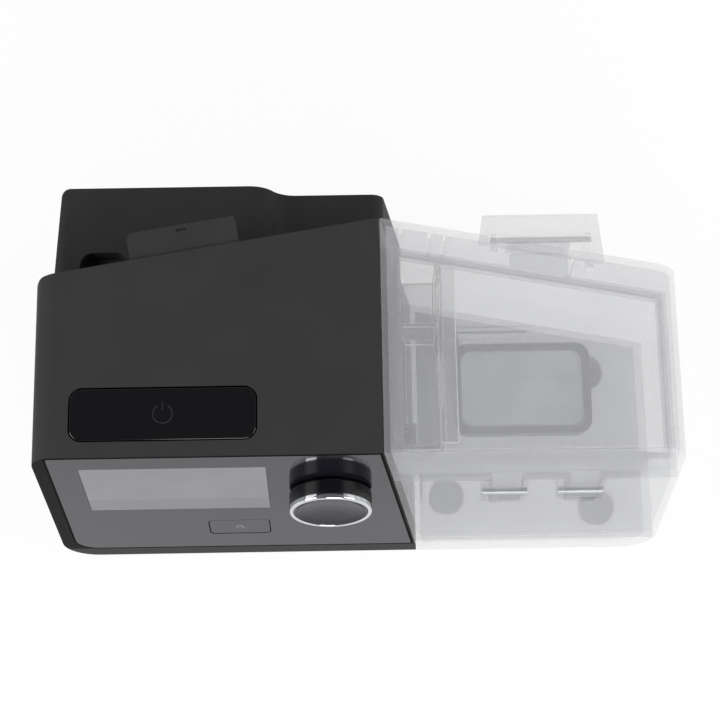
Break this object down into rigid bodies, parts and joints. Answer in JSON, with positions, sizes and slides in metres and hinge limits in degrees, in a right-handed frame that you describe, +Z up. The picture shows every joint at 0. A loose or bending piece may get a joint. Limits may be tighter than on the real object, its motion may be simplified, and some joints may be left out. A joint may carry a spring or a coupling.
{
  "type": "continuous positive airway pressure machine",
  "caption": "Bedside breathing-therapy air machine in a black housing with display, knob and rear hose outlet, and a frosted clear humidifier tank with hinged lid slid onto its right side.",
  "frame": {"origin": "centre of the footprint, on the table under the rubber feet", "axes": "+X to the humidifier's side (the right, seen from the front), +Y to the back, +Z up"},
  "size_m": [0.264, 0.1488, 0.116],
  "materials": {
    "housing_plastic": "fine satin texture",
    "key_plastic": "polished black",
    "panel_plastic": "polished dark window",
    "display_glass": "clear window over an unlit grey display",
    "display_frame": "moulded",
    "circuit_board": "solder mask",
    "switch_plastic": "moulded",
    "dark_plastic": "moulded",
    "chrome": "polished",
    "brushed_steel": "fine brushed",
    "duct_plastic": "moulded",
    "copper": "lacquered windings on a steel core",
    "foam": "open-cell foam",
    "filter_fleece": "pleated fleece",
    "rubber": "moulded",
    "heater_film": "etched foil heater",
    "seal_silicone": "moulded",
    "clear_plastic": "frosted clear"
  },
  "bodies": {
    "main_unit": {"lower_housing": "housing_plastic", "top_cover": "housing_plastic", "rear_cover": "housing_plastic", "front_panel": "panel_plastic", "display_glass": "display_glass", "display_module": "display_frame", "front_board": "circuit_board", "home_switch": "switch_plastic", "power_switch": "switch_plastic", "control_board": "circuit_board", "speaker": "dark_plastic", "encoder_body": "switch_plastic", "blower_base": "duct_plastic", "blower_cover": "duct_plastic", "blower_mounts": "rubber", "motor_plate": "duct_plastic", "motor_stator": "copper", "motor_bearings": "brushed_steel", "inlet_muffler": "duct_plastic", "muffler_foam": "foam", "pressure_duct": "duct_plastic", "return_duct": "duct_plastic", "air_outlet": "duct_plastic", "port_seals": "rubber", "air_filter": "filter_fleece", "dc_socket": "dark_plastic", "card_socket": "brushed_steel", "rubber_feet": "rubber", "housing_screws": "brushed_steel", "board_screws": "brushed_steel", "locating_pin": "brushed_steel", "humidifier_base": "clear_plastic", "heater_plate": "brushed_steel", "heater_element": "heater_film", "heater_carrier": "dark_plastic"},
    "power_key": {"power_button": "key_plastic"},
    "home_key": {"home_button": "panel_plastic"},
    "knob_plunger": {"encoder_plunger": "brushed_steel"},
    "knob": {"knob_body": "key_plastic", "knob_ring": "chrome", "knob_cap": "brushed_steel", "encoder_shaft": "brushed_steel"},
    "rotor": {"impeller": "duct_plastic", "motor_shaft": "chrome", "motor_rotor": "brushed_steel"},
    "filter_door": {"filter_cover": "housing_plastic"},
    "memory_card": {"sd_card": "dark_plastic"},
    "tank": {"water_tank": "clear_plastic", "tank_heat_plate": "brushed_steel", "plate_gasket": "seal_silicone", "air_baffle": "clear_plastic", "lid_seal": "seal_silicone", "hinge_pins": "brushed_steel"},
    "lid": {"chamber_lid": "clear_plastic", "latch_pin": "brushed_steel"},
    "latch": {"lid_latch": "clear_plastic"}
  },
  "joints": [
    {"name": "power_key_press", "type": "slide", "parent": "main_unit", "child": "power_key", "axis": [0, 0, -1], "range_m": [0, 0.0008], "stiffness_N_per_m": 400, "springref_m": -0.001},
    {"name": "home_key_press", "type": "slide", "parent": "main_unit", "child": "home_key", "axis": [0, 0.9903, -0.1392], "range_m": [0, 0.0008], "stiffness_N_per_m": 150, "springref_m": -0.001},
    {"name": "knob_press", "type": "slide", "parent": "main_unit", "child": "knob_plunger", "axis": [0, 0.9903, -0.1392], "range_m": [0, 0.0006], "stiffness_N_per_m": 400, "springref_m": -0.001},
    {"name": "knob_turn", "type": "hinge", "parent": "knob_plunger", "child": "knob", "pos_m": [-0.012, -0.06222, 0.07589], "axis": [0, -0.9903, 0.1392], "continuous": true},
    {"name": "rotor_spin", "type": "hinge", "parent": "main_unit", "child": "rotor", "pos_m": [-0.07, -0.01058, 0.03], "axis": [0, 0, 1], "continuous": true},
    {"name": "filter_door_pull", "type": "slide", "parent": "main_unit", "child": "filter_door", "axis": [0, 1, 0], "range_m": [0, 0.03]},
    {"name": "memory_card_pull", "type": "slide", "parent": "main_unit", "child": "memory_card", "axis": [-1, 0, 0], "range_m": [0, 0.022]},
    {"name": "tank_slide", "type": "slide", "parent": "main_unit", "child": "tank", "axis": [1, 0, 0], "range_m": [0, 0.13]},
    {"name": "lid_hinge", "type": "hinge", "parent": "tank", "child": "lid", "pos_m": [0.076, -0.06059, 0.06303], "axis": [1, 0, 0], "range_deg": [0, 100]},
    {"name": "latch_hinge", "type": "hinge", "parent": "lid", "child": "latch", "pos_m": [0.0785, 0.04042, 0.096], "axis": [1, 0, 0], "range_deg": [0, 18], "stiffness_Nm_per_rad": 0.02, "springref_deg": -5.73}
  ]
}
